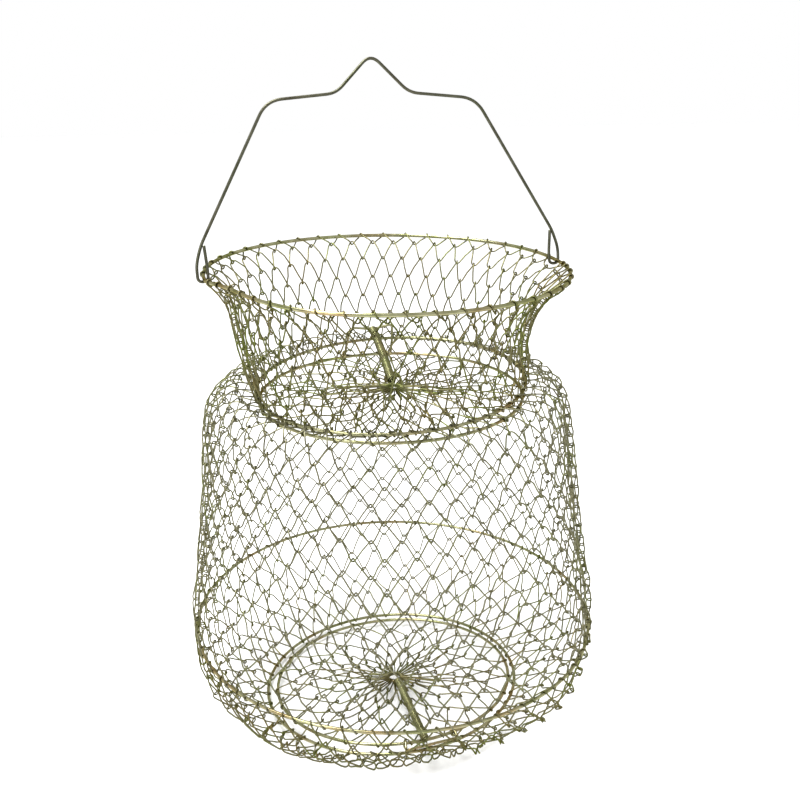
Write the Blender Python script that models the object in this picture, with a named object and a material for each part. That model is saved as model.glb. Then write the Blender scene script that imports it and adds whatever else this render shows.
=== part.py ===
import math

import bpy
import numpy as np

# Wire keep net: a collapsible fish basket of plated steel wire with a bail,
# a rim, a narrow collar, a wide body and a sprung trap door at each end.
# Metres, +Z up, the bail's hinge along X, standing on the base ring at Z = 0.

# Ring wires, each radius to the middle of the wire
RING_WIRE = 0.0026
RIM_RADIUS = 0.140
NECK_RADIUS = 0.112
TOP_DOOR_INSET = 0.002
TOP_DOOR_RADIUS = NECK_RADIUS - TOP_DOOR_INSET
HOOP_RADIUS = 0.1655
BASE_RADIUS = 0.108
BASE_DOOR_INSET = 0.007
BASE_DOOR_RADIUS = BASE_RADIUS - BASE_DOOR_INSET
COLLAR_DEPTH = 0.0895
BODY_DEPTH = 0.2075
BASE_DEPTH = 0.0662
TOP_DOOR_DROP = 0.0106

# Net wire and the counts of its rows and loops
NET_WIRE = 0.0018
LOOPS = 26
COLLAR_ROWS = 3
BODY_ROWS = 8
BASE_ROWS = 3
DOOR_ROWS = 2
NET_GAP = 0.0003
NODE_OVERLAP = 0.0015

# The walls' outlines between two rings. The collar and the base bowl: shares of the
# depth and of the way from one ring's radius to the other's. The shoulder: how much
# wider than the neck, and how far above it. From there the side runs straight down to a
# share of the depth, where it lies a little inside the hoop's radius
COLLAR_FLARE = [(0.14, 0.546), (0.29, 0.804), (0.5, 0.971), (0.75, 1.0)]
SHOULDER = [(0.009, 0.008), (0.019, 0.0085), (0.0275, -0.003), (0.033, -0.021), (0.0365, -0.045)]
BASE_BOWL = [(0.317, 0.078), (0.665, 0.304), (0.905, 0.635), (0.99, 0.861)]
SIDE_STRAIGHT = 0.87
SIDE_INSET = 0.0025

# Bail
BAIL_WIRE = 0.0025
BAIL_HEIGHT = 0.160
BAIL_BAR_HEIGHT = 0.133
BAIL_SHOULDER = 0.080
BAIL_HUMP_HALF = 0.031
BAIL_LEAN = math.radians(15)
BAIL_BEND = 0.010
EYE_HEIGHT = 0.025
EYE_HALF_WIDTH = 0.0036
EYE_CLEARANCE = 0.00035

# Trap doors: brackets, hubs and springs
BRACKET_WIRE = 0.0022
BRACKET_RISE = 0.0130
BRACKET_DIP = 0.0025
BASE_BRACKET_REACH = 0.0055
BASE_BRACKET_RISE = 0.0070
HINGE_CLEARANCE = 0.00035
FLOOR_CLEARANCE = 0.0004
TOP_DOOR_TURN = math.radians(-4.5)
BASE_DOOR_TURN = math.radians(184)
HUB_RADIUS = 0.010
HUB_WIRE = 0.0018
SPRING_WIRE = 0.0013
SPRING_OUTSIDE = 0.0066
SPRING_CURLS = 26
SPRING_HOOK = 0.011

# Facets
RING_SIDES = 36
WIDE_RING_SIDES = 48
WIRE_SIDES = 6
CURL_POINTS = 8

# Heights of the rings' middles
BASE_Z = RING_WIRE / 2 * math.sin(math.radians(60))
HOOP_Z = BASE_Z + BASE_DEPTH
NECK_Z = HOOP_Z + BODY_DEPTH
RIM_Z = NECK_Z + COLLAR_DEPTH
TOP_DOOR_Z = NECK_Z - TOP_DOOR_DROP
BASE_DOOR_Z = RING_WIRE / 2 + HINGE_CLEARANCE + BRACKET_WIRE + FLOOR_CLEARANCE
BAIL_PIVOT_Z = RIM_Z - RING_WIRE / 2 - EYE_CLEARANCE - BAIL_WIRE / 2
LEG_ANGLE = math.tau / RING_SIDES
EYE_CURL = RING_WIRE / 2 + HINGE_CLEARANCE + BRACKET_WIRE / 2

for old in list(bpy.data.objects):
    bpy.data.objects.remove(old, do_unlink=True)


# Plated steel, a little darker and duller where the wire is handled or coiled
def material(name, colour, roughness, metallic=0.9):
    made = bpy.data.materials.new(name)
    made.use_nodes = True
    shader = made.node_tree.nodes["Principled BSDF"]
    shader.inputs["Base Color"].default_value = (*colour, 1)
    shader.inputs["Roughness"].default_value = roughness
    shader.inputs["Metallic"].default_value = metallic
    made.diffuse_color = (*colour, 1)
    return made


ring_steel = material("plated_ring_wire", (0.29, 0.29, 0.15), 0.32)
net_steel = material("plated_net_wire", (0.25, 0.25, 0.13), 0.38)
bail_steel = material("plated_bail_wire", (0.24, 0.24, 0.17), 0.35)
spring_steel = material("spring_wire", (0.36, 0.36, 0.25), 0.3)


def carrier(name, place, turn=0.0, parent=None):
    empty = bpy.data.objects.new(name, None)
    empty.empty_display_size = 0.02
    bpy.context.scene.collection.objects.link(empty)
    empty.location = place
    empty.rotation_euler = (0, 0, turn)
    bpy.context.view_layer.update()
    if parent:
        hold(empty, parent)
    return empty


def hold(piece, parent):
    piece.parent = parent
    piece.matrix_parent_inverse = parent.matrix_world.inverted()
    bpy.context.view_layer.update()


# A wire through points, as a bevelled curve with filled ends
def wire(name, points, thickness, finish, parent, closed=False, sides=WIRE_SIDES, twist="MINIMUM"):
    curve = bpy.data.curves.new(name, "CURVE")
    curve.dimensions = "3D"
    curve.bevel_depth = thickness / 2
    curve.bevel_resolution = (sides - 4) // 2
    curve.use_fill_caps = not closed
    curve.twist_mode = twist
    spline = curve.splines.new("POLY")
    spline.points.add(len(points) - 1)
    spline.points.foreach_set("co", np.c_[np.array(points), np.ones(len(points))].ravel())
    spline.use_cyclic_u = closed
    spline.use_smooth = True
    curve.materials.append(finish)
    piece = bpy.data.objects.new(name, curve)
    bpy.context.scene.collection.objects.link(piece)
    if parent:
        hold(piece, parent)
    return piece


# A round wire ring at a height, with one of its corners at the turn's angle
def ring(name, radius, height, thickness, finish, parent, turn=0.0, sides=RING_SIDES):
    bpy.ops.mesh.primitive_torus_add(
        major_segments=sides, minor_segments=WIRE_SIDES, major_radius=radius, minor_radius=thickness / 2
    )
    piece = bpy.context.object
    piece.name = name
    piece.location = (0, 0, height)
    piece.rotation_euler = (0, 0, turn)
    piece.data.materials.append(finish)
    piece.data.shade_smooth()
    bpy.context.view_layer.update()
    if parent:
        hold(piece, parent)
    return piece


# Points turned about Z by an angle
def turned(points, angle):
    c, s = math.cos(angle), math.sin(angle)
    return np.array(points) @ np.array([[c, s, 0], [-s, c, 0], [0, 0, 1]])


# A path whose inner corners are rounded: each corner becomes a short curve that starts
# and ends a reach away along its two sides
def rounded(corners, reach, steps=4):
    corners = np.array(corners, float)
    path = [corners[0]]
    for before, at, after in zip(corners, corners[1:], corners[2:]):
        side_in, side_out = before - at, after - at
        long_in, long_out = np.linalg.norm(side_in), np.linalg.norm(side_out)
        near = min(reach, 0.45 * long_in, 0.45 * long_out)
        start, end = at + side_in / long_in * near, at + side_out / long_out * near
        for t in np.linspace(0, 1, steps + 1):
            path.append((1 - t) ** 2 * start + 2 * t * (1 - t) * at + t**2 * end)
    path.append(corners[-1])
    return path


# A wall's outline as (radius, height) points, read by the distance along it
class Outline:
    def __init__(self, points):
        self.points = np.array(points)
        steps = np.linalg.norm(np.diff(self.points, axis=0), axis=1)
        self.at = np.r_[0, np.cumsum(steps)]
        self.length = self.at[-1]

    def place(self, distance):
        return np.array([np.interp(distance, self.at, self.points[:, k]) for k in (0, 1)])

    def chord_outward(self, start, end):
        run = self.place(end) - self.place(start)
        return np.array([-run[1], run[0]]) / np.linalg.norm(run)

    def outward(self, distance):
        near = 0.03 * self.length
        return self.chord_outward(distance - near, distance + near)


# How far a net wire's middle lies from a ring wire's, clear of the ring's flat sides
def seat(radius, sides, thickness=RING_WIRE):
    return thickness / 2 + NET_WIRE / 2 + NET_GAP + radius * (1 - math.cos(math.pi / sides))


# One row of net: a closed zigzag wire. Its first bends lie on one side of the outline
# and its last bends on the inner side, so that the next row's bends pass outside them
def net_row(name, outline, start, end, first_side, last_side, half_step, turn, parent):
    layer = NET_WIRE / 2 + NET_GAP / 2
    first = layer if first_side is None else first_side
    last = -layer if last_side is None else last_side
    low = start - (NODE_OVERLAP if first_side is None else 0)
    high = end + (NODE_OVERLAP if last_side is None else 0)
    square = outline.chord_outward(start, end)
    tops = outline.place(low) + (outline.outward(start) if first_side is None else square) * first
    bottoms = outline.place(high) + (outline.outward(end) if last_side is None else square) * last
    points = []
    for k in range(LOOPS):
        for spot, share in ((tops, k + half_step / 2), (bottoms, k + half_step / 2 + 0.5)):
            angle = math.tau * share / LOOPS
            points.append((spot[0] * math.sin(-angle), spot[0] * math.cos(angle), spot[1]))
    return wire(name, turned(points, turn), NET_WIRE, net_steel, parent, True, 4, "Z_UP")


# A wall of rows between two rings
def net(name, outline, rows, first_seat, last_seat, half_step, turn, parent):
    stops = np.linspace(0, outline.length, rows + 1)
    for k in range(rows):
        first_side = first_seat if k == 0 else None
        last_side = last_seat if k == rows - 1 else None
        step = (half_step + k) % 2
        net_row(f"{name}_row_{k + 1}", outline, stops[k], stops[k + 1], first_side, last_side, step, turn, parent)


# Carriers: the base stands, the hoop, the neck and the rim slide down when the net is
# folded, and the bail and the doors swing
hinge_y = {"top": TOP_DOOR_RADIUS * math.cos(LEG_ANGLE), "base": BASE_DOOR_RADIUS * math.cos(LEG_ANGLE)}
hoop = carrier("hoop_carrier", (0, 0, HOOP_Z))
neck = carrier("neck_carrier", (0, 0, NECK_Z), parent=hoop)
rim = carrier("rim_carrier", (0, 0, RIM_Z), parent=neck)
bail_pivot = carrier("bail_pivot", (0, 0, BAIL_PIVOT_Z), parent=rim)
top_hinge = turned([(0, hinge_y["top"], TOP_DOOR_Z)], TOP_DOOR_TURN)[0]
top_pivot = carrier("top_door_pivot", top_hinge, TOP_DOOR_TURN, neck)
base_hinge = turned([(0, hinge_y["base"], BASE_DOOR_Z)], BASE_DOOR_TURN)[0]
base_pivot = carrier("base_door_pivot", base_hinge, BASE_DOOR_TURN)

# Rings
ring("rim_ring", RIM_RADIUS, RIM_Z, RING_WIRE, ring_steel, rim, sides=WIDE_RING_SIDES)
ring("neck_ring", NECK_RADIUS, NECK_Z, RING_WIRE, ring_steel, neck, TOP_DOOR_TURN)
ring("body_hoop", HOOP_RADIUS, HOOP_Z, RING_WIRE, ring_steel, hoop, sides=WIDE_RING_SIDES)
ring("base_ring", BASE_RADIUS, BASE_Z, RING_WIRE, ring_steel, None, BASE_DOOR_TURN)
ring("top_door_ring", TOP_DOOR_RADIUS, TOP_DOOR_Z, RING_WIRE, ring_steel, top_pivot, TOP_DOOR_TURN)
ring("base_door_ring", BASE_DOOR_RADIUS, BASE_DOOR_Z, RING_WIRE, ring_steel, base_pivot, BASE_DOOR_TURN)

# Walls of net
rim_seat = seat(RIM_RADIUS, WIDE_RING_SIDES)
hoop_seat = seat(HOOP_RADIUS, WIDE_RING_SIDES)
neck_seat = seat(NECK_RADIUS, RING_SIDES)
base_seat = seat(BASE_RADIUS, RING_SIDES)
collar_inward, base_inward = RIM_RADIUS - NECK_RADIUS, HOOP_RADIUS - BASE_RADIUS
collar = Outline(
    [(RIM_RADIUS, RIM_Z)]
    + [(RIM_RADIUS - inward * collar_inward, RIM_Z - down * COLLAR_DEPTH) for down, inward in COLLAR_FLARE]
    + [(NECK_RADIUS, NECK_Z)]
)
body = Outline(
    [(NECK_RADIUS, NECK_Z)]
    + [(NECK_RADIUS + wider, NECK_Z + up) for wider, up in SHOULDER]
    + [(HOOP_RADIUS - SIDE_INSET, NECK_Z - SIDE_STRAIGHT * BODY_DEPTH), (HOOP_RADIUS, HOOP_Z)]
)
base = Outline(
    [(HOOP_RADIUS, HOOP_Z)]
    + [(HOOP_RADIUS - inward * base_inward, HOOP_Z - down * BASE_DEPTH) for down, inward in BASE_BOWL]
    + [(BASE_RADIUS, BASE_Z)]
)
net("collar", collar, COLLAR_ROWS, -rim_seat, neck_seat, 1, TOP_DOOR_TURN, neck)
net("body", body, BODY_ROWS, neck_seat, -hoop_seat, 1, TOP_DOOR_TURN, hoop)
net("base", base, BASE_ROWS, hoop_seat, -base_seat, 1, BASE_DOOR_TURN, None)


# A trap door's net runs from its ring to a small hub ring
def door(name, radius, height, turn, parent):
    ring(f"{name}_hub", HUB_RADIUS, height, HUB_WIRE, ring_steel, parent, turn, 16)
    outline = Outline([(radius, height), (HUB_RADIUS, height)])
    outer = seat(radius, RING_SIDES)
    inner = seat(HUB_RADIUS, 16, HUB_WIRE)
    net(name, outline, DOOR_ROWS, -outer, -inner, 1, turn, parent)


door("top_door", TOP_DOOR_RADIUS, TOP_DOOR_Z, TOP_DOOR_TURN, top_pivot)
door("base_door", BASE_DOOR_RADIUS, BASE_DOOR_Z, BASE_DOOR_TURN, base_pivot)


# A hinge bracket of bent wire: two legs over the frame ring, a curl at each foot round
# the door ring, and a bar that the door's spring hooks on. The leg is (radius, height)
def bracket(name, leg, door_radius, door_z, curl_from, bar, dip, turn, parent):
    sweep = np.linspace(curl_from + math.radians(250), curl_from, 9)
    foot = [(door_radius + EYE_CURL * math.cos(a), door_z + EYE_CURL * math.sin(a)) for a in sweep]
    side = [(p[0] * math.sin(LEG_ANGLE), p[0] * math.cos(LEG_ANGLE), p[1]) for p in foot + leg + [bar]]
    middle = (0, bar[0] * math.cos(LEG_ANGLE), bar[1] - dip)
    mirrored = [(-p[0], p[1], p[2]) for p in reversed(side)]
    curls, inner = len(foot), rounded(side[len(foot):] + [middle] + mirrored[: -len(foot)], 0.004, 3)
    path = side[:curls] + [tuple(p) for p in inner] + mirrored[-curls:]
    return wire(name, turned(path, turn), BRACKET_WIRE, ring_steel, parent)


# The top bracket stands up inside the collar, its legs against the neck ring
top_leg = [(NECK_RADIUS - EYE_CURL, NECK_Z)]
top_bar = (NECK_RADIUS - EYE_CURL, NECK_Z + BRACKET_RISE)
bracket(
    "top_bracket", top_leg, TOP_DOOR_RADIUS, TOP_DOOR_Z, math.pi, top_bar, BRACKET_DIP, TOP_DOOR_TURN, neck
)

# The base bracket lies over both base rings and reaches outward
across = math.atan2(BASE_Z - BASE_DOOR_Z, BASE_RADIUS - BASE_DOOR_RADIUS)
over = across + math.pi / 2
base_leg = [(BASE_RADIUS + EYE_CURL * math.cos(over), BASE_Z + EYE_CURL * math.sin(over))]
base_bar = (BASE_RADIUS + BASE_BRACKET_REACH, BASE_Z + BASE_BRACKET_RISE)
bracket(
    "base_bracket", base_leg, BASE_DOOR_RADIUS, BASE_DOOR_Z, over, base_bar, 0.0, BASE_DOOR_TURN, None
)


# A pull spring between the hub and the bar, in the plane that halves the door: a hook
# round the hub ring, a straight leg, close curls, another leg and a hook round the bar
def spring(name, bar, dip, door_z, turn, parent):
    hub_reach = HUB_WIRE / 2 + SPRING_WIRE / 2 + NET_GAP
    bar_reach = BRACKET_WIRE / 2 + SPRING_WIRE / 2 + NET_GAP
    clear_net = HUB_WIRE / 2 + NET_WIRE + 2 * NET_GAP + SPRING_OUTSIDE / 2
    bar_y, bar_z = bar[0] * math.cos(LEG_ANGLE), bar[1] - dip
    low = np.array([HUB_RADIUS + SPRING_HOOK * 0.5, door_z + clear_net + NET_WIRE])
    high = np.array([bar_y - SPRING_HOOK, max(bar_z + bar_reach, low[1])])
    axis = (high - low) / np.linalg.norm(high - low)
    across = np.array([-axis[1], axis[0]])
    coil = np.linalg.norm(high - low)
    mean = (SPRING_OUTSIDE - SPRING_WIRE) / 2
    hub_hook = [
        (HUB_RADIUS + hub_reach * math.cos(a), door_z + hub_reach * math.sin(a))
        for a in np.radians([250, 205, 160, 115, 60])
    ]
    bar_hook = [
        (bar_y + bar_reach * math.cos(a), bar_z + bar_reach * math.sin(a))
        for a in np.radians([100, 50, 0, -50, -100])
    ]
    path = [(0, y, z) for y, z in hub_hook]
    steps = SPRING_CURLS * CURL_POINTS
    for k in range(steps + 1):
        angle = math.tau * k / CURL_POINTS
        ends = min(1, k / CURL_POINTS * 1.5, (steps - k) / CURL_POINTS * 1.5)
        y, z = low + axis * coil * k / steps + across * mean * ends * math.cos(angle)
        path.append((mean * ends * math.sin(angle), y, z))
    path += [(0, y, z) for y, z in bar_hook]
    pitch = coil / SPRING_CURLS
    print(name, "curl pitch mm", round(pitch * 1000, 2), "least gap to itself mm", round(least_gap(path) * 1000, 2))
    return wire(name, turned(path, turn), SPRING_WIRE, spring_steel, parent)


# The least gap between stretches of a spring wire that aren't neighbours along it
def least_gap(path):
    path = np.array(path)
    dense = np.concatenate([np.linspace(a, b, 4, endpoint=False) for a, b in zip(path, path[1:])])
    along = np.r_[0, np.cumsum(np.linalg.norm(np.diff(dense, axis=0), axis=1))]
    best = 1.0
    for k in range(len(dense)):
        far = np.abs(along - along[k]) > 4 * SPRING_WIRE
        best = min(best, np.linalg.norm(dense[far] - dense[k], axis=1).min())
    return best - SPRING_WIRE


spring("top_spring", top_bar, BRACKET_DIP, TOP_DOOR_Z, TOP_DOOR_TURN, neck)
spring("base_spring", base_bar, 0.0, BASE_DOOR_Z, BASE_DOOR_TURN, None)


# The bail: one bent wire whose ends are closed eyes round the rim. Half of it runs from
# the hump's peak down the right leg; across is along X, up is above the eyes' bars
eye_x = RIM_RADIUS
half = [
    (0.0, BAIL_HEIGHT + 0.0045),
    (BAIL_HUMP_HALF, BAIL_BAR_HEIGHT),
    (BAIL_SHOULDER, BAIL_BAR_HEIGHT - 0.0015),
    (eye_x - 0.0025, EYE_HEIGHT),
    (eye_x + EYE_HALF_WIDTH, EYE_HEIGHT * 0.5),
    (eye_x + EYE_HALF_WIDTH, 0.0),
    (eye_x - EYE_HALF_WIDTH, 0.0),
    (eye_x - EYE_HALF_WIDTH, EYE_HEIGHT * 0.5),
    (eye_x - EYE_HALF_WIDTH - 0.0002, EYE_HEIGHT * 0.5 + 0.0075),
]
corners = [(-x, up) for x, up in reversed(half)] + half[1:]
flat = [(x, up * math.sin(BAIL_LEAN), up * math.cos(BAIL_LEAN) + BAIL_PIVOT_Z) for x, up in corners]
bend_reach = [0.002 if up < EYE_HEIGHT * 1.01 else BAIL_BEND for _, up in corners]
path = [np.array(flat[0])]
for k in range(1, len(flat) - 1):
    path += rounded([flat[k - 1], flat[k], flat[k + 1]], bend_reach[k], 3 if bend_reach[k] < 0.005 else 6)[1:-1]
path.append(np.array(flat[-1]))
wire("bail", path, BAIL_WIRE, bail_steel, bail_pivot, sides=8)
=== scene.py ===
import math

import bpy
import numpy as np
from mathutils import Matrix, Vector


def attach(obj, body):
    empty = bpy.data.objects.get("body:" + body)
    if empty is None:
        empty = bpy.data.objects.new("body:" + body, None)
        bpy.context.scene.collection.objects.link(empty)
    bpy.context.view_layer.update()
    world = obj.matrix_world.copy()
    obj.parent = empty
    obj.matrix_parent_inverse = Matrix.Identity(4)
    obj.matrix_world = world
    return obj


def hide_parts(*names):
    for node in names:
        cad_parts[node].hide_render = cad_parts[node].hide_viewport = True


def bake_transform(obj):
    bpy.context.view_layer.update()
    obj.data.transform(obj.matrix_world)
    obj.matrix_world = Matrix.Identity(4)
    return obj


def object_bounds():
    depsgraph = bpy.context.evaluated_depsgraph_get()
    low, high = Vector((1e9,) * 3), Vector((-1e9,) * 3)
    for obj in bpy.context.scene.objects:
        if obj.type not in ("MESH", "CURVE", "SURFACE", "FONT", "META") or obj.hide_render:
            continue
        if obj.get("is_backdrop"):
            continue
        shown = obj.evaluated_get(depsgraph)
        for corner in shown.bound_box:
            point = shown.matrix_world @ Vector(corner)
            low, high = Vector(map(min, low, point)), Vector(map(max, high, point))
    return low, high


# A wire keep net: every visible piece is bent, yellow zinc plated steel wire.
# Lengths are in metres, +Z is up and the bail's hinge runs along X.

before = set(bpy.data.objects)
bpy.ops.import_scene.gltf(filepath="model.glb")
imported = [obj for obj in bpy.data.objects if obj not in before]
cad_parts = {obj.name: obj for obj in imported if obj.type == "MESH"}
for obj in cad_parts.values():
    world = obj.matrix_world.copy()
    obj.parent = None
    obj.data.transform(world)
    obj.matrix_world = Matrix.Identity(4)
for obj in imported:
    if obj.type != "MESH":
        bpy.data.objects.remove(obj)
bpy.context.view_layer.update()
print("frame loaded")

# Where the rings lie: the radius and the height of the middle of their wire
rings = {
    "wire": 0.0026,
    "rimWire": 0.0029,
    "rim": (0.1400, 0.364326),
    "neck": (0.1120, 0.274826),
    "topDoor": (0.1100, 0.264226),
    "hoop": (0.1655, 0.067326),
    "base": (0.1080, 0.001126),
    "baseDoor": (0.1010, 0.004250),
    "hub": 0.0065,  # the radius of each door's hub ring, and its wire
    "hubWire": 0.0018,
    "weldSwell": 0.22,  # how much thicker the wire is at its weld, and how far that reaches
    "weldReach": 0.0016,
}
rimR, rimZ = rings["rim"]
neckR, neckZ = rings["neck"]
hoopR, hoopZ = rings["hoop"]
baseR, baseZ = rings["base"]
topTurn = math.radians(-2.6)  # where the top door's hinge faces, from +Y
baseTurn = math.radians(184)

# The hand-made net leans and sways a little. The numbers of each height or door are its
# slope towards +X and +Y of the photograph's frame, which is turned by turn from this
# one, its shift towards +X, its fall, and how much of its width along X is squeezed away
leaning = {
    "turn": math.radians(14),
    "walls": [  # the height, and then the five numbers
        (-0.02, 0.059, -0.038, 0.0030, 0.0028, 0.0),
        (0.0011, 0.059, -0.038, 0.0030, 0.0028, 0.0),
        (0.033, 0.031, -0.020, 0.0058, 0.0014, -0.065),
        (0.0673, 0.0, 0.0, 0.0049, 0.0, 0.0),
        (0.105, 0.0, 0.0, 0.0053, 0.0, 0.0),
        (0.160, 0.0, 0.0, 0.0044, 0.0, 0.0),
        (0.209, 0.0, 0.0, 0.0034, 0.0, 0.0),
        (0.244, 0.006, 0.002, 0.0022, 0.0, 0.0),
        (0.262, 0.020, 0.010, 0.0022, 0.0, 0.020),
        (0.2748, 0.038, 0.021, 0.0037, 0.0, 0.054),
        (0.290, 0.030, 0.018, 0.0010, 0.0, 0.035),
        (0.310, 0.018, 0.012, -0.0024, 0.0, 0.015),
        (0.330, 0.010, 0.006, -0.0018, 0.0, 0.0),
        (0.3643, 0.0, 0.0, 0.0, 0.0, 0.0),
        (0.60, 0.0, 0.0, 0.0, 0.0, 0.0),
    ],
    "topDoor": (0.015, -0.010, 0.0037, 0.0, 0.055),
    "baseDoor": (0.064, -0.065, 0.0045, 0.0047, 0.0),
    "squeezePower": 4,  # how fast the squeeze fades outside the neck ring
    "shoulderFrom": 0.2,  # above this height the slopes fade outside the neck ring,
    "shoulderFade": 0.020,  # over this distance,
    "shoulderLeast": 0.2,  # and no further than to this share
    # the rim is pinched in at its left front and at the bail: the angle from the front in
    # degrees, and how far
    "pinch": [
        (-150, 0.0), (-125, 0.0010), (-104, 0.0024), (-90, 0.0031), (-77, 0.0034), (-73, 0.0036),
        (-70, 0.0040), (-64, 0.0098), (-58, 0.0130), (-51, 0.0122), (-43, 0.0098), (-36, 0.0074),
        (-28, 0.0044), (-20, 0.0018), (-10, 0.0), (60, 0.0), (85, 0.0010), (104, 0.0018),
        (125, 0.0010), (150, 0.0),
    ],
    "pinchDepth": 0.040,  # how far below the rim the pinch fades out
    "pinchTop": 0.01,  # how far above the rim it ends, so that the bail isn't pinched
    "leastRadius": 0.001,  # a shorter distance from the axis counts as this
}


# The lean: along two level directions square to each other, a point is squeezed towards
# the axis, rises by its distance times a slope, and is shifted, each by numbers that
# depend on its height alone; the rim's pinch fades out below it by a cosine, and the
# slopes fade out over the shoulder, a centimetre or two outside the neck ring
def lean(points, place="walls"):
    x, y, z = points[..., 0], points[..., 1], points[..., 2]
    c, s = math.cos(leaning["turn"]), math.sin(leaning["turn"])
    across, back = x * c - y * s, x * s + y * c
    if place == "walls":
        radius = np.hypot(x, y)
        divisor = np.maximum(radius, leaning["leastRadius"])
        heights, *columns = np.array(leaning["walls"]).T
        slopeX, slopeY, shift, fall, squeeze = [np.interp(z, heights, column) for column in columns]
        squeeze = squeeze * np.minimum(1, (neckR / divisor) ** leaning["squeezePower"])
        kept = np.clip(1 - (radius - neckR) / leaning["shoulderFade"], leaning["shoulderLeast"], 1)
        kept = np.where(z > leaning["shoulderFrom"], kept, 1)
        slopeX, slopeY = slopeX * kept, slopeY * kept
        near = np.clip((z - rimZ) / leaning["pinchDepth"] + 1, 0, 1)
        fade = np.where(z > rimZ + leaning["pinchTop"], 0, 0.5 - 0.5 * np.cos(math.pi * near))
        angles, depths = np.array(leaning["pinch"]).T
        inward = 1 - fade * np.interp(np.degrees(np.arctan2(across, -back)), angles, depths) / divisor
        across, back = across * inward, back * inward
    else:
        slopeX, slopeY, shift, fall, squeeze = leaning[place]
    across = across * (1 - squeeze)
    high = z + slopeX * across + slopeY * back - fall
    across = across + shift
    return np.stack([across * c + back * s, back * c - across * s, high], axis=-1)


# An sRGB hex colour as linear red, green and blue, by the sRGB curve, and alpha
def fromHex(code):
    parts = np.array([int(code[i:i + 2], 16) for i in (1, 3, 5)]) / 255
    linear = np.where(parts <= 0.04045, parts / 12.92, ((parts + 0.055) / 1.055) ** 2.4)
    return (*linear.tolist(), 1)


# A node with its settings and with what goes into its inputs: outputs of others, or values
def addNode(tree, kind, links=(), **settings):
    node = tree.nodes.new(kind)
    for key, value in settings.items():
        setattr(node, key, value)
    for source, target in links:
        if hasattr(source, "is_output"):
            tree.links.new(source, node.inputs[target])
        else:
            node.inputs[target].default_value = source
    return node


plating = {
    "patch": 0.011,  # the size of the film's patches
    "filmStops": (0.34, 0.66),
    "hueSpread": 3.1,  # how much larger the green and copper patches are
    "hueStops": (0.30, 0.72),
}


# Yellow chromate over zinc on drawn steel wire: olive and straw coloured, with patches
# that pass into green and copper where the film is thicker. The tones are set darker than
# the plated wire's own colour: painted shade, in place of the dark surroundings that the
# wire would reflect. The edge colour darkens the grazing reflection, also as painted shade.
# The tones are the film's dark and light, and then its green and its copper
def platedWire(name, tones, roughness, edge, tint=0.35):
    made = bpy.data.materials.new(name)
    made.use_nodes = True
    tree = made.node_tree
    shader = tree.nodes["Principled BSDF"]
    place = addNode(tree, "ShaderNodeTexCoord").outputs["Object"]
    layers = []
    for size, detail, stops, pair in (
        (plating["patch"], 2.0, plating["filmStops"], tones[:2]),
        (plating["patch"] * plating["hueSpread"], 1.0, plating["hueStops"], tones[2:]),
    ):
        noise = addNode(
            tree, "ShaderNodeTexNoise", [(place, "Vector"), (1 / size, "Scale"), (detail, "Detail")]
        )
        colour = addNode(tree, "ShaderNodeValToRGB", [(noise.outputs["Fac"], "Fac")])
        for element, stop, tone in zip(colour.color_ramp.elements, stops, pair):
            element.position = stop
            element.color = fromHex(tone)
        layers.append((noise, colour))
    (film, body), (_, hue) = layers
    middle = hue.color_ramp.elements.new(0.5)
    middle.color = fromHex(tones[1])
    mixed = addNode(tree, "ShaderNodeMix", [(tint, "Factor")], data_type="RGBA")
    tree.links.new(body.outputs["Color"], mixed.inputs["A"])
    tree.links.new(hue.outputs["Color"], mixed.inputs["B"])
    tree.links.new(mixed.outputs["Result"], shader.inputs["Base Color"])
    limits = [(roughness[0], "To Min"), (roughness[1], "To Max")]
    dull = addNode(tree, "ShaderNodeMapRange", [(film.outputs["Fac"], "Value"), *limits])
    tree.links.new(dull.outputs["Result"], shader.inputs["Roughness"])
    shader.inputs["Metallic"].default_value = 1.0
    shader.inputs["Specular Tint"].default_value = fromHex(edge)
    return made


# every finish's tones and edge colour are darkened as painted shade, in place of the dark surroundings that
# the wire would reflect
finishes = {
    "ring_wire": platedWire(
        "yellowZincRingWire", ("#6b6a46", "#a3a180", "#7b8a4a", "#a87a4c"), (0.12, 0.24), "#b4b29a"
    ),
    "net_wire": platedWire(
        "yellowZincNetWire", ("#4e4d36", "#757254", "#69772c", "#79693c"), (0.28, 0.44), "#9a9984", 0.50
    ),
    # the body's rows are given lighter and greyer tones than the other rows
    "body_net": platedWire(
        "greyerYellowZincNetWire", ("#575644", "#817f68", "#788340", "#7a7456"), (0.28, 0.44), "#96968a", 0.30
    ),
    # the bail's wire has the darkest tones of all the finishes
    "bail_wire": platedWire(
        "darkestZincBailWire", ("#3f3f34", "#5f5f50", "#4c5038", "#57503e"), (0.24, 0.40), "#8c8c7c"
    ),
    "spring_wire": platedWire(
        "zincSpringWire", ("#5a5b40", "#83845f", "#65703f", "#7c7452"), (0.20, 0.34), "#9c9a80"
    ),
}
print("finishes made")


# A round wire along a path. At each point of the path a ring of corners stands square to
# the path, at the cosine and sine of evenly spaced angles along two directions square to
# it, which come from the cross product of the path's direction and a reference
def wireSkin(paths, radius, sides, reference, closed):
    if closed:
        ahead = np.roll(paths, -1, axis=1) - np.roll(paths, 1, axis=1)
    else:
        ahead = np.gradient(paths, axis=1)
    ahead /= np.linalg.norm(ahead, axis=-1, keepdims=True)
    side = np.cross(ahead, reference)
    side /= np.linalg.norm(side, axis=-1, keepdims=True)
    up = np.cross(side, ahead)
    turn = np.arange(sides) * math.tau / sides
    ring = side[:, :, None] * np.cos(turn)[:, None] + up[:, :, None] * np.sin(turn)[:, None]
    return paths[:, :, None] + ring * np.reshape(radius, (1, -1, 1, 1))


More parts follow.
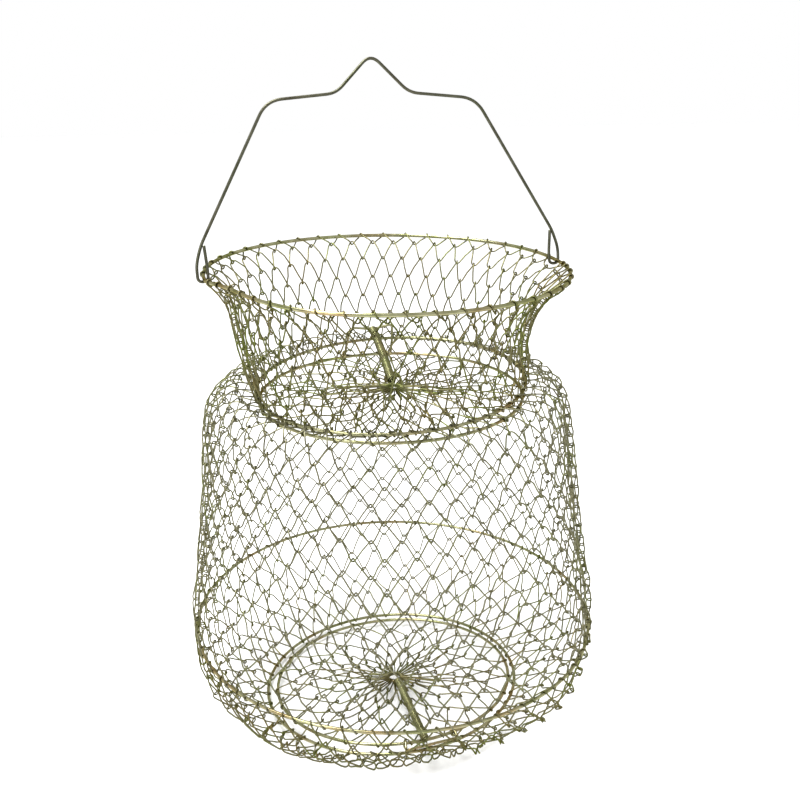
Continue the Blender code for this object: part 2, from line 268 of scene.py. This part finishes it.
# The wire's faces: quads between neighbouring rings of corners, and a cap on an open end
def wireFaces(count, long, sides, closed):
    stretch = np.arange(long if closed else long - 1)
    at = np.arange(count)[:, None, None] * long * sides
    here = stretch[None, :, None] * sides
    there = (stretch[None, :, None] + 1) % long * sides
    this = np.arange(sides)[None, None, :]
    that = (this + 1) % sides
    corners = np.stack([at + here + this, at + there + this, at + there + that, at + here + that], axis=-1)
    faces = corners.reshape(-1, 4).tolist()
    if not closed:
        start = np.arange(count)[:, None] * long * sides + np.arange(sides)[None]
        faces += start.tolist() + (start + (long - 1) * sides)[:, ::-1].tolist()
    return faces


# A piece of one or more wires, leaned as its place is, in the stead of the solids' nodes
def wirePiece(
    name, paths, thickness, sides, reference, closed, slot, nodes, body=None, place="walls", finish=None
):
    paths = np.asarray(paths, float)
    if paths.ndim == 2:
        paths = paths[None]
    if place:
        paths = lean(paths, place)
    skin = wireSkin(paths, np.asarray(thickness) / 2, sides, reference, closed)
    mesh = bpy.data.meshes.new(name)
    faces = wireFaces(paths.shape[0], paths.shape[1], sides, closed)
    mesh.from_pydata(skin.reshape(-1, 3).tolist(), [], faces)
    mesh.shade_smooth()
    mesh.materials.append(finishes[finish or slot])
    piece = bpy.data.objects.new(name, mesh)
    bpy.context.scene.collection.objects.link(piece)
    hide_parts(*nodes)
    if body:
        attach(piece, body)
    return piece


# Points turned about the axis
def turnedBy(points, angle):
    c, s = math.cos(angle), math.sin(angle)
    return np.asarray(points) @ np.array([[c, s, 0], [-s, c, 0], [0, 0, 1]])


# The distance along a line from its first point to each of its points
def distanceAlong(points):
    return np.r_[0, np.cumsum(np.linalg.norm(np.diff(points, axis=0), axis=1))]


# Points spaced evenly along a line, about a step apart, each between its two neighbours
def evenPath(points, step):
    gone = distanceAlong(points)
    keep = np.r_[True, np.diff(gone) > 1e-7]  # a point on top of the one before goes
    gone, points = gone[keep], points[keep]
    new = np.linspace(0, gone[-1], max(3, int(round(gone[-1] / step)) + 1))
    return np.stack([np.interp(new, gone, points[:, k]) for k in range(points.shape[1])], axis=1)


# A path with its inner corners rounded: each corner becomes a short parabola that starts
# and ends a reach away along its two sides, or just before the middle of the shorter one;
# then points are spaced evenly along the path
def bentPath(corners, reach, step, most=0.48, count=9):
    corners = np.asarray(corners, float)
    before, at, after = corners[:-2], corners[1:-1], corners[2:]
    longIn = np.linalg.norm(before - at, axis=1, keepdims=True)
    longOut = np.linalg.norm(after - at, axis=1, keepdims=True)
    near = np.minimum(np.reshape(reach, (-1, 1)), most * np.minimum(longIn, longOut))
    start, end = at + (before - at) / longIn * near, at + (after - at) / longOut * near
    t = np.linspace(0, 1, count)[None, :, None]
    curve = (1 - t) ** 2 * start[:, None] + 2 * t * (1 - t) * at[:, None] + t**2 * end[:, None]
    return evenPath(np.concatenate([corners[:1], curve.reshape(-1, corners.shape[1]), corners[-1:]]), step)


# A ring of wire, butt welded: a circle at one height, a little thicker at its weld
def ringPiece(
    name, where, node, body, weld, place="walls", wire=rings["wire"], middle=(0, 0), steps=208, sides=14
):
    radius, height = where
    around = np.linspace(0, math.tau, steps, endpoint=False)
    x, y = middle[0] + radius * np.cos(around), middle[1] + radius * np.sin(around)
    path = np.stack([x, y, np.full(steps, height)], axis=1)
    off = (around - math.radians(weld) + math.pi) % math.tau - math.pi
    thick = wire * (1 + rings["weldSwell"] * np.exp(-((off * radius / rings["weldReach"]) ** 2)))
    return wirePiece(name, path, thick, sides, np.array([0, 0, 1.0]), True, "ring_wire", [node], body, place)


ringPiece("rimRing", rings["rim"], "rim_ring", "rim", 78, wire=rings["rimWire"])
ringPiece("neckRing", rings["neck"], "neck_ring", "neck", -62)
ringPiece("bodyHoop", rings["hoop"], "body_hoop", "hoop", 140)
ringPiece("baseRing", rings["base"], "base_ring", "base", -64)
ringPiece("topDoorRing", rings["topDoor"], "top_door_ring", "top_door", -40, "topDoor")
ringPiece("baseDoorRing", rings["baseDoor"], "base_door_ring", "base_door", 200, "baseDoor")

# A door's spring draws its hub towards the hinge and off the ring's plane
hubs = {
    "topDoor": {"aside": 0.0033, "pull": 0.0040, "rise": 0.0025, "turn": topTurn},
    "baseDoor": {"aside": 0.0, "pull": 0.0050, "rise": 0.0010, "turn": baseTurn},
}


# The middle of a door's hub, at rest
def hubMiddle(door):
    hub = hubs[door]
    return turnedBy([hub["aside"], hub["pull"], rings[door][1] + hub["rise"]], hub["turn"])


for door, body in (("topDoor", "top_door"), ("baseDoor", "base_door")):
    middle = hubMiddle(door)
    where = (rings["hub"], middle[2])
    ringPiece(door + "Hub", where, body + "_hub", body, 30, door, rings["hubWire"], middle[:2], 64, 8)
print("rings made")


netting = {
    "wire": 0.00122,
    "loops": 45,
    "doorLoops": 24,
    "sides": 6,
    "layer": 0.0022,  # how far a leg lies off the wall's middle: outward going down, inward going up
    # a bend that hooks over the row above, and one that the next row hangs in: half its width
    # and the largest share of a loop that this may take, its rise, and the power that squares it
    "arch": {"half": 0.0007, "share": 0.25, "rise": 0.0031, "square": 0.8},
    "hook": {"half": 0.0005, "share": 0.2, "rise": 0.0025, "square": 0.70},
    "riseShare": 0.36,  # the largest share of a row's depth that a bend may rise
    "bendAt": [0.04, 0.18, 0.34, 0.5, 0.66, 0.82, 0.96],  # a bend's points, as shares of it
    "wrap": {"half": 0.0013, "share": 0.25},  # a bend on a ring: its half width and largest share
    "wrapAt": [-105, -70, -35, 0, 35, 70, 105],  # its points, as degrees round the ring's wire
    "wrapGap": 0.00005,  # between the ring's wire and the net's
    "link": 0.0019,  # how far two linked bends' wires lie from each other
    "bow": 0.0003,  # how far legs bow, and how wide a loop is below which they bow less
    "bowPitch": 0.012,
    "loose": (0.0009, 0.0007, 0.0006),  # how far bends stray: along the row, along the wall, off it
    "follow": 0.5,  # how far a bend follows each of its neighbours
    "followEven": 1.3,  # what the sum of these is divided by
    "widths": (0.7, 1.5),  # between what shares bends vary in width
    "roll": 0.16,  # how far a bend leans off the wall, over its rise
    "wave": 0.0012,  # how far a wall waves in and out, and how often round it
    "waves": 5,
    "leastRadius": 0.004,  # a shorter radius counts as this
    "drawPower": 1.6,  # how late a door's net rises towards its hub
}


# A wall's outline as (radius, height), smoothed: a cubic through the points whose slope
# at each is that of its two neighbours, read by the distance along it, and led on straight
# past both ends
class Wall:
    steps = 400
    lead = 0.006

    def __init__(self, points, smooth=True):
        points = np.array(points, float)
        gone = distanceAlong(points)
        fine = np.linspace(0, gone[-1], self.steps)
        if smooth:
            slope = np.gradient(points, gone, axis=0)
            at = np.clip(np.searchsorted(gone, fine, side="right") - 1, 0, len(gone) - 2)
            span = (gone[at + 1] - gone[at])[:, None]
            t = ((fine - gone[at])[:, None]) / span
            a, b = points[at], points[at + 1]
            line = (2 * t**3 - 3 * t**2 + 1) * a + (t**3 - 2 * t**2 + t) * span * slope[at]
            line = line + (3 * t**2 - 2 * t**3) * b + (t**3 - t**2) * span * slope[at + 1]
        else:
            line = np.stack([np.interp(fine, gone, points[:, k]) for k in (0, 1)], axis=1)
        first, last = line[1] - line[0], line[-1] - line[-2]
        before = line[0] - first / np.linalg.norm(first) * self.lead
        after = line[-1] + last / np.linalg.norm(last) * self.lead
        line = np.concatenate([[before], line, [after]])
        gone = distanceAlong(line)
        self.at, self.line = gone - self.lead, line
        self.length = gone[-1] - 2 * self.lead
        run = np.gradient(line, gone, axis=0)
        self.out = np.stack([-run[:, 1], run[:, 0]], axis=1) / np.linalg.norm(run, axis=1, keepdims=True)

    # The radius and height at a distance along the wall, and the direction off it there
    def read(self, distance):
        return [np.interp(distance, self.at, column) for column in (*self.line.T, *self.out.T)]


# A number to a power, with its sign kept
def powered(value, power):
    return np.sign(value) * np.abs(value) ** power


# A bend round a ring's wire, as places along the row, along the wall and off it: the cosine
# and the sine of an angle round that wire. A side of -1 is a row's top and 1 is its foot
def bendOnRing(side, end, pitch, wrap, loops):
    around = np.radians(netting["wrapAt"])
    half = min(netting["wrap"]["half"], netting["wrap"]["share"] * pitch)
    x = around / around[-1] * half * np.ones((loops, 1))
    at = np.broadcast_to(end + side * wrap * np.cos(around), x.shape)
    off = np.broadcast_to(-side * wrap * np.sin(around), x.shape)
    return x, at, off


# A bend between two rows, in the plane square to the row. With t from 0 to 1 through it, its
# distance off the wall is the layer times a power of the cosine of pi t, and its distance
# along the wall the rise times the same power of the sine; its sides lean as the legs do
def bendInRow(kind, side, end, pitch, slope, depth, width, roll):
    form = netting[kind]
    angle = np.array(netting["bendAt"]) * math.pi
    c, s = powered(np.cos(angle), form["square"]), powered(np.sin(angle), form["square"])
    wide = min(form["half"], form["share"] * pitch) * width
    rise = min(form["rise"], netting["riseShare"] * depth)
    x = -wide * c - np.sign(np.round(c, 6)) * slope * rise * (1 - s)
    at = end + side * netting["link"] / 2 - side * rise * (1 - s) * width**0.5
    off = side * netting["layer"] * c * width**0.25 + roll * rise * s
    return x, at, off


# The point halfway from the end of each of some bends to the start of the next
def halfway(bends, others):
    return (bends[..., -1:] + others[..., :1]) / 2


# One wall of linked rows. Each row is one closed wire, wound as a flat coil: a leg down on
# the outer layer, a hook through the wall to the inner layer, a leg up there, and an arch
# back out over the row above. The first row's arches and the last row's hooks go round the
# rings' wires instead, and the whole wall waves in and out by a sine of the angle
def netWall(wall, lie, loops, firstWrap, lastWrap):
    pick = np.random.default_rng(lie["seed"])
    rows = len(lie["stops"]) - 1
    stops = np.asarray(lie["stops"], float) / lie["stops"][-1] * wall.length
    loose = np.asarray(lie["loose"], float)[:, None, None]
    stray = pick.normal(0, 1, (rows + 1, loops, 3)) * np.array(netting["loose"]) * loose
    follow = netting["follow"]
    soft = stray + follow * np.roll(stray, 1, axis=1) + follow * np.roll(stray, -1, axis=1)
    soft = soft / netting["followEven"]
    soft[[0, -1], :, 1:] = 0
    widths = pick.uniform(*netting["widths"], (rows, 2, loops, 1))
    rolls = pick.normal(0, netting["roll"], (rows, 2, loops, 1)) * loose[:-1, None]
    bows = pick.normal(0, netting["bow"], (rows, 2, 2, loops, 1))
    half = (np.arange(rows + 1) + lie["phase"]) % 2 / 2
    step = math.tau / loops
    paths, alongRow = [], []
    for row in range(rows):
        topAt, lowAt = stops[row], stops[row + 1]
        depth = lowAt - topAt
        pitchTop, pitchLow = step * wall.read(topAt)[0], step * wall.read(lowAt)[0]
        slope = ((pitchTop + pitchLow) / 4 - netting["arch"]["half"] - netting["hook"]["half"]) / depth
        if row == 0:
            arch = bendOnRing(-1, topAt, pitchTop, firstWrap, loops)
        else:
            arch = bendInRow("arch", -1, topAt, pitchTop, slope, depth, widths[row, 0], rolls[row, 0])
        if row == rows - 1:
            hook = bendOnRing(1, lowAt, pitchLow, lastWrap, loops)
        else:
            hook = bendInRow("hook", 1, lowAt, pitchLow, slope, depth, widths[row, 1], rolls[row, 1])
        angle = ((np.arange(loops) + half[row]) * step)[:, None]
        radiusTop = np.maximum(wall.read(arch[1])[0], netting["leastRadius"])
        radiusLow = np.maximum(wall.read(hook[1])[0], netting["leastRadius"])
        top = soft[row]
        low = np.roll(soft[row + 1], -1 if half[row] else 0, axis=0)
        archAngle = angle + (arch[0] + top[:, :1]) / radiusTop
        hookAngle = angle + step / 2 + (hook[0] + low[:, :1]) / radiusLow
        # from here on arch, hook and the legs between them are stacks of angle, along and off
        arch = np.stack([archAngle, arch[1] + top[:, 1:2], arch[2] + top[:, 2:3]])
        hook = np.stack([hookAngle, hook[1] + low[:, 1:2], hook[2] + low[:, 2:3]])
        nextArch = np.roll(arch, -1, axis=1)
        nextArch[0, -1] += math.tau
        legs = [halfway(arch, hook), halfway(hook, nextArch)]
        bow = bows[row] * min(1.0, pitchLow / netting["bowPitch"])
        for leg, (bowAlong, bowOff) in zip(legs, bow.swapaxes(0, 1)):
            leg[0] += bowAlong / radiusLow[:, :1]
            leg[2] += bowOff
        angles, alongs, offs = np.concatenate([arch, legs[0], hook, legs[1]], axis=2).reshape(3, -1)
        radius, height, outR, outZ = wall.read(alongs)
        fade = np.sin(np.clip(alongs / wall.length, 0, 1) * math.pi)
        offs = offs + netting["wave"] * np.sin(netting["waves"] * angles + lie["seed"]) * fade * loose.max()
        reach = radius + offs * outR
        paths.append(np.stack([reach * np.cos(angles), reach * np.sin(angles), height + offs * outZ], axis=1))
        alongRow.append(np.stack([-np.sin(angles), np.cos(angles), 0 * angles], axis=1))
    return turnedBy(np.array(paths), lie["turn"]), turnedBy(np.array(alongRow), lie["turn"])


# A wall's wires as one piece
def netPiece(name, walls, nodes, body=None, place="walls", finish="net_wire"):
    paths, alongRow = walls
    return wirePiece(
        name, paths, netting["wire"], netting["sides"], alongRow, True, "net_wire", nodes, body, place, finish
    )


# How far from the middle of a ring's wire a net wire goes round it
def wrapOn(thickness):
    return thickness / 2 + netting["wire"] / 2 + netting["wrapGap"]


# The solids' rows that a wall stands for
def cadRows(name, count):
    return [f"{name}_row_{k}" for k in range(1, count + 1)]


collarWall = Wall([
    (rimR, rimZ), (0.1246, rimZ - 0.0135), (0.1170, rimZ - 0.0255), (0.1122, rimZ - 0.045),
    (0.1116, rimZ - 0.067), (neckR, neckZ),
])
bodyWall = Wall([
    (neckR, neckZ), (0.1190, neckZ + 0.0012), (0.1262, neckZ + 0.0014), (0.1328, neckZ - 0.0008),
    (0.1378, neckZ - 0.0062), (0.1410, neckZ - 0.0130), (0.1426, neckZ - 0.0220),
    (0.1450, neckZ - 0.0455), (0.1512, neckZ - 0.1000), (0.1572, neckZ - 0.1430),
    (0.1642, neckZ - 0.1810), (hoopR, hoopZ),
])
baseWall = Wall([
    (hoopR, hoopZ), (0.1632, hoopZ - 0.0200), (0.1508, hoopZ - 0.0398), (0.1315, hoopZ - 0.0541),
    (0.1180, hoopZ - 0.0618), (baseR, baseZ),
])

# How each wall's rows lie. The stops are where they meet along the wall, in any unit, and
# loose is how much the bends at each stop stray; a phase of 1 starts half a loop round
doorStops = [0, 1, 2, 3, 4, 5.05, 6.1]
doorLoose = [0.4, 1.7, 2.0, 2.0, 1.6, 0.9, 0.1]
lies = {
    "collar": {
        "stops": [0, 8, 24.5, 41, 57, 73, 87, 98], "loose": [0.3] * 8,
        "phase": 1, "turn": math.radians(2), "seed": 11,
    },
    "body": {
        "stops": range(19), "loose": [0.3, 1.5, 1.3, 1.1] + [0.8] * 14 + [0.3],
        "phase": 1, "turn": math.radians(3.5), "seed": 12,
    },
    "base": {
        "stops": range(8), "loose": [0.3, 1.3, 1.6, 1.8, 1.8, 1.6, 1.4, 0.4],
        "phase": 0, "turn": math.radians(3.5), "seed": 13,
    },
    "topDoor": {"stops": doorStops, "loose": doorLoose, "phase": 1, "turn": 0.03, "seed": 14},
    "baseDoor": {"stops": doorStops, "loose": doorLoose, "phase": 1, "turn": 0.03, "seed": 15},
}

# How the collar's loops part round the bail's eyes, at angles from the eye to the front
besideEye = {
    "turn": math.radians(5.2),
    "middle": math.radians(2),
    "front": math.radians(7),
    "back": math.radians(4.6),
    "deep": 0.022,
}


# Loops parted round the bail's eyes: each point's angle from its nearer eye towards the
# front grows by a bell curve, steeper at the back, that fades out below the rim
def clearOfEyes(points):
    x, y, z = points[..., 0], points[..., 1], points[..., 2]
    toFront = np.arctan2(-y, np.abs(x))
    off = toFront - besideEye["middle"]
    wide = np.where(off > 0, besideEye["front"], besideEye["back"])
    part = besideEye["turn"] * np.exp(-((off / wide) ** 2))
    part = toFront + part * np.clip(1 - (rimZ - z) / besideEye["deep"], 0, 1)
    radius = np.hypot(x, y)
    return np.stack([np.sign(x) * radius * np.cos(part), -radius * np.sin(part), z], axis=-1)


loops, ringWrap = netting["loops"], wrapOn(rings["wire"])
collarPaths, collarAlong = netWall(collarWall, lies["collar"], loops, wrapOn(rings["rimWire"]), ringWrap)
collarNet = netPiece("collarNet", (clearOfEyes(collarPaths), collarAlong), cadRows("collar", 3))
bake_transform(collarNet)
bodyRows = netWall(bodyWall, lies["body"], loops, ringWrap, ringWrap)
bodyNet = netPiece("bodyNet", bodyRows, cadRows("body", 8), finish="body_net")
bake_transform(bodyNet)
baseRows = netWall(baseWall, lies["base"], loops, ringWrap, ringWrap)
baseNet = netPiece("baseNet", baseRows, cadRows("base", 3))
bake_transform(baseNet)


# A door's net is drawn towards its hub: each point moves by the hub's pull and rise, times
# a share that grows from nothing at the ring to one at the hub, and for the rise a power of it
def drawnToHub(points, door):
    radius, height = rings[door]
    inside = radius - np.hypot(points[..., 0], points[..., 1])
    share = np.clip(inside / (radius - rings["hub"]), 0, 1)[..., None]
    middle = hubMiddle(door) - [0, 0, height]
    level, up = np.array([1, 1, 0]), np.array([0, 0, 1])
    return points + middle * level * share + middle * up * share ** netting["drawPower"]


for door, body in (("topDoor", "top_door"), ("baseDoor", "base_door")):
    radius, height = rings[door]
    flat = Wall([(radius, height), (rings["hub"], height)], smooth=False)
    paths, alongRow = netWall(flat, lies[door], netting["doorLoops"], ringWrap, wrapOn(rings["hubWire"]))
    netPiece(door + "Net", (drawnToHub(paths, door), alongRow), cadRows(body, 2), body, door)
print("nets made")


brackets = {
    "wire": 0.0022,
    "sides": 12,
    "gap": 0.00035,  # between the door's ring and the curls round it
    "sweep": math.radians(285),  # how far each curl goes round, and in how many points
    "curlPoints": 24,
    "halfAngle": math.radians(11.4),  # each leg's angle off the bracket's middle
    "topRise": 0.0135,
    "topDip": 0.0026,  # how far the spring's seat dips below the bar
    "topSlant": 0.0052,  # how far the bar stands to the right of the feet
    "topBarHalf": 0.0190,
    "seatHalf": 0.0030,
    "seatRise": 0.1,  # how far the seat's ends stand above it, as a share of the dip
    "baseAside": 0.0069,  # how far off the bar's middle the base spring hooks on
    "baseReach": 0.0055,
    "baseRise": 0.0070,
    "bend": 0.0036,
    "step": 0.0007,
}
curl = rings["wire"] / 2 + brackets["gap"] + brackets["wire"] / 2  # a curl's radius


# A bracket: a curl round the door ring at each foot, a leg over the frame ring and a bar.
# The leg lies in the plane through the axis at the leg's angle, and the other leg mirrors it
def bracketPath(door, curlFrom, leg, bar, turn, dip=0.0, slant=0.0, barHalf=None):
    radius, height = rings[door]
    sweep = np.linspace(curlFrom + brackets["sweep"], curlFrom, brackets["curlPoints"])
    foot = np.stack([radius + curl * np.cos(sweep), height + curl * np.sin(sweep)], axis=1)
    upright = np.concatenate([foot, [leg]])
    c, s = math.cos(brackets["halfAngle"]), math.sin(brackets["halfAngle"])
    side = np.stack([upright[:, 0] * s, upright[:, 0] * c, upright[:, 1]], axis=1)
    corner = np.array([[barHalf or bar[0] * s, bar[0] * c, bar[1]]])
    middle = np.array([[slant, bar[0] * c, bar[1] - dip]])
    seatHalf, seatRise = brackets["seatHalf"], dip * brackets["seatRise"]
    seat = [middle + np.array([[x, 0, seatRise]]) for x in (seatHalf, -seatHalf)]
    mirror = np.array([[-1, 1, 1]])
    aside = np.array([[slant, 0, 0]])
    path = np.concatenate([side, corner + aside, *seat, corner * mirror + aside, side[::-1] * mirror])
    return turnedBy(bentPath(path, brackets["bend"], brackets["step"]), turn)


topBar = (neckR - curl, neckZ + brackets["topRise"])
topShape = (brackets["topDip"], brackets["topSlant"], brackets["topBarHalf"])
topBracketPath = bracketPath("topDoor", math.pi, (neckR - curl, neckZ), topBar, topTurn, *topShape)
over = math.atan2(baseZ - rings["baseDoor"][1], baseR - rings["baseDoor"][0]) + math.pi / 2
baseLeg = (baseR + curl * math.cos(over), baseZ + curl * math.sin(over))
baseBar = (baseR + brackets["baseReach"], baseZ + brackets["baseRise"])
baseBracketPath = bracketPath("baseDoor", over, baseLeg, baseBar, baseTurn)
tilted = np.array([0.6, 0.35, 0.7])  # a direction that no part of a bracket runs along
for name, path, turn, node, body in (
    ("topBracket", topBracketPath, topTurn, "top_bracket", "neck"),
    ("baseBracket", baseBracketPath, baseTurn, "base_bracket", "base"),
):
    reference = turnedBy([tilted], turn)[0]
    wirePiece(name, path, brackets["wire"], brackets["sides"], reference, False, "ring_wire", [node], body)

springs = {
    "wire": 0.00105,
    "sides": 7,
    "outside": {"topDoor": 0.0077, "baseDoor": 0.0063},  # the coil's, from side to side
    "turns": 84,
    "perTurn": 14,  # points in each turn
    "opening": 0.45,  # how much of its radius each end turn opens by
    "hubGap": 0.0015,  # from the hub's wire to the coil, and from the coil to the bar
    "barGap": 0.0030,
    "lift": 0.0006,
    "hookGap": 0.0002,  # between a hook and the wire in it
    "hubHook": (290, 70),  # where each hook starts and ends, in degrees up from the hinge side
    "barHook": (105, -150),
    "hookPoints": 12,
    "hookStep": 0.0005,
    "tilt": (0.35, 0.2),  # how far the reference for the wire's corners leans off the coil's line
}


# A hook: an arc round the middle of a wire, by a cosine along the door's hinge side and a
# sine upwards
def hookPath(middle, radius, ends):
    a = np.radians(np.linspace(*ends, springs["hookPoints"]))[:, None]
    return middle + radius * (np.cos(a) * np.array([0, 1.0, 0]) + np.sin(a) * np.array([0, 0, 1.0]))


# A pull spring: a close coil along a line, whose radius opens from nothing over the first
# two turns or so, and at each end a hook round the hub's or the bracket's wire
def springPath(door, bar, dip, slant):
    hub, turn = hubMiddle(door), hubs[door]["turn"]
    hubHook = rings["hubWire"] / 2 + springs["wire"] / 2 + springs["hookGap"]
    barHook = brackets["wire"] / 2 + springs["wire"] / 2 + springs["hookGap"]
    eye = turnedBy(hub, -turn) + np.array([0, rings["hub"], 0])
    ear = np.array([slant, bar[0] * math.cos(brackets["halfAngle"]), bar[1] - dip])
    straight = (ear - eye) / np.linalg.norm(ear - eye)
    low = eye + straight * springs["hubGap"] + np.array([0, 0, hubHook + springs["lift"]])
    high = ear - straight * springs["barGap"] + np.array([0, 0, barHook])
    axis = (high - low) / np.linalg.norm(high - low)
    first = np.cross(axis, [1.0, 0, 0])
    first /= np.linalg.norm(first)
    second = np.cross(axis, first)
    count = springs["turns"] * springs["perTurn"]
    k = np.arange(count + 1)
    mean = (springs["outside"][door] - springs["wire"]) / 2
    opened = np.minimum(1, np.minimum(k, count - k) / springs["perTurn"] * springs["opening"])
    angle = (math.tau * k / springs["perTurn"])[:, None]
    spoke = first * np.cos(angle) + second * np.sin(angle)
    coil = low + (k / count)[:, None] * (high - low) + (mean * opened)[:, None] * spoke
    hubEnd = np.concatenate([hookPath(eye, hubHook, springs["hubHook"]), coil[:1]])
    barEnd = np.concatenate([coil[-1:], hookPath(ear, barHook, springs["barHook"])])
    hubEnd, barEnd = evenPath(hubEnd, springs["hookStep"]), evenPath(barEnd, springs["hookStep"])
    return turnedBy(np.concatenate([hubEnd[:-1], coil, barEnd[1:]]), turn)


# A spring leans as its door does at the hub and as its frame ring does at the bar, and its
# lean blends from the one to the other along the line from its first point to its last
topEar = (topBar, brackets["topDip"], brackets["topSlant"])
baseEar = (baseBar, 0.0, brackets["baseAside"])
for name, node, door, ear, bodies in (
    ("topSpring", "top_spring", "topDoor", topEar, ("neck", "top_door")),
    ("baseSpring", "base_spring", "baseDoor", baseEar, ("base", "base_door")),
):
    path = springPath(door, *ear)
    along = path[-1] - path[0]
    share = np.clip((path - path[0]) @ along / (along @ along), 0, 1)[:, None]
    path = lean(path, door) * (1 - share) + lean(path, "walls") * share
    along = path[-1] - path[0]
    acrossSpring = turnedBy([[1.0, 0, 0]], hubs[door]["turn"])[0]
    square = np.cross(along / np.linalg.norm(along), acrossSpring)
    tilt = springs["tilt"]
    reference = along / np.linalg.norm(along) + tilt[0] * square + tilt[1] * acrossSpring
    spring = wirePiece(
        name, path, springs["wire"], springs["sides"], reference, False, "spring_wire", [node], None, None
    )
    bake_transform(spring)
print("brackets and springs made")


bail = {
    "wire": 0.0023,
    "sides": 14,
    "step": 0.0012,
    "lean": math.radians(15),
    "aside": 0.0011,  # the hump and the shoulders are bent a little off the middle,
    "asideFrom": 0.1,  # above this height over the eyes
    # as in the solids: half the rim's wire, a gap and half the bail's wire below the rim
    "pivot": rimZ - 0.0013 - 0.00035 - 0.00125,
    # half of it, across, up and forward from the eyes' bars, and how far from each corner its
    # bend starts: the hump and the shoulder, and then the eye
    "half": [
        (0.0, 0.1628, 0, 0.0095),
        (0.0281, 0.1340, 0, 0.0075),
        (0.0806, 0.1292, 0, 0.0120),
        (0.1368, 0.0264, 0, 0.005),
        (0.1412, 0.0125, 0, 0.007),
        (0.1408, 0.0, 0, 0.0034),
        (0.1333, 0.0, 0, 0.0034),
        (0.1333, 0.0090, 0.0001, 0.006),
        (0.1347, 0.0262, 0.0010, 0),
    ],
}
half = np.array(bail["half"])
whole = np.concatenate([half[::-1] * np.array([-1, 1, 1, 1]), half[1:]])
whole[:, 0] -= bail["aside"] * (whole[:, 1] > bail["asideFrom"])
squareBail = np.array([0, math.cos(bail["lean"]), -math.sin(bail["lean"])])
upBail = np.array([0, math.sin(bail["lean"]), math.cos(bail["lean"])])
flatBail = whole[:, :1] * np.array([1.0, 0, 0]) + whole[:, 1:2] * upBail - whole[:, 2:3] * squareBail
bailPath = bentPath(flatBail + np.array([0, 0, bail["pivot"]]), whole[1:-1, 3], bail["step"])
wirePiece(
    "bailWire", bailPath, bail["wire"], bail["sides"], squareBail, False, "bail_wire", ["bail"], "bail", None
)
print("bail made")


floorHalf = 6
lowest = min(corner[2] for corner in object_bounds())
floorCorners = [(x * floorHalf, y * floorHalf, lowest) for x, y in ((-1, -1), (1, -1), (1, 1), (-1, 1))]
floorMesh = bpy.data.meshes.new("floor")
floorMesh.from_pydata(floorCorners, [], [(0, 1, 2, 3)])
floor = bpy.data.objects.new("floor", floorMesh)
bpy.context.scene.collection.objects.link(floor)
paper = bpy.data.materials.new("paleFloor")
paper.use_nodes = True
paper.node_tree.nodes["Principled BSDF"].inputs["Base Color"].default_value = fromHex("#ffffff")
paper.node_tree.nodes["Principled BSDF"].inputs["Roughness"].default_value = 0.9
floorMesh.materials.append(paper)
floor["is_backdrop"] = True

world = bpy.data.worlds.new("studio")
world.use_nodes = True
world.node_tree.nodes["Background"].inputs["Color"].default_value = fromHex("#ffffff")
world.node_tree.nodes["Background"].inputs["Strength"].default_value = 1.0
bpy.context.scene.world = world
bpy.context.scene.view_settings.view_transform = "Standard"

# Each light's place, what it faces, its size and its power
lights = {
    "key": ((-0.5, 0.2, 1.8), (0, 0, 0.2), 0.8, 40),
    "side": ((-1.2, -0.8, 1.0), (0, 0, 0.2), 0.5, 7),
}
for name, (place, target, size, power) in lights.items():
    lamp = bpy.data.lights.new(name, "AREA")
    lamp.size, lamp.energy = size, power
    holder = bpy.data.objects.new(name, lamp)
    bpy.context.scene.collection.objects.link(holder)
    holder.location = place
    aim = np.array(place) - np.array(target)
    holder.rotation_euler = (math.atan2(math.hypot(aim[0], aim[1]), aim[2]), 0, math.atan2(aim[0], -aim[1]))

camera = bpy.data.objects.new("camera", bpy.data.cameras.new("camera"))
bpy.context.scene.collection.objects.link(camera)
camera.data.sensor_width, camera.data.lens = 36, 45
camera.location = (-0.1712, -0.7318, 0.5256)
camera.rotation_euler = (math.radians(70.39), 0, math.radians(-14))
bpy.context.scene.camera = camera

print("scene made")
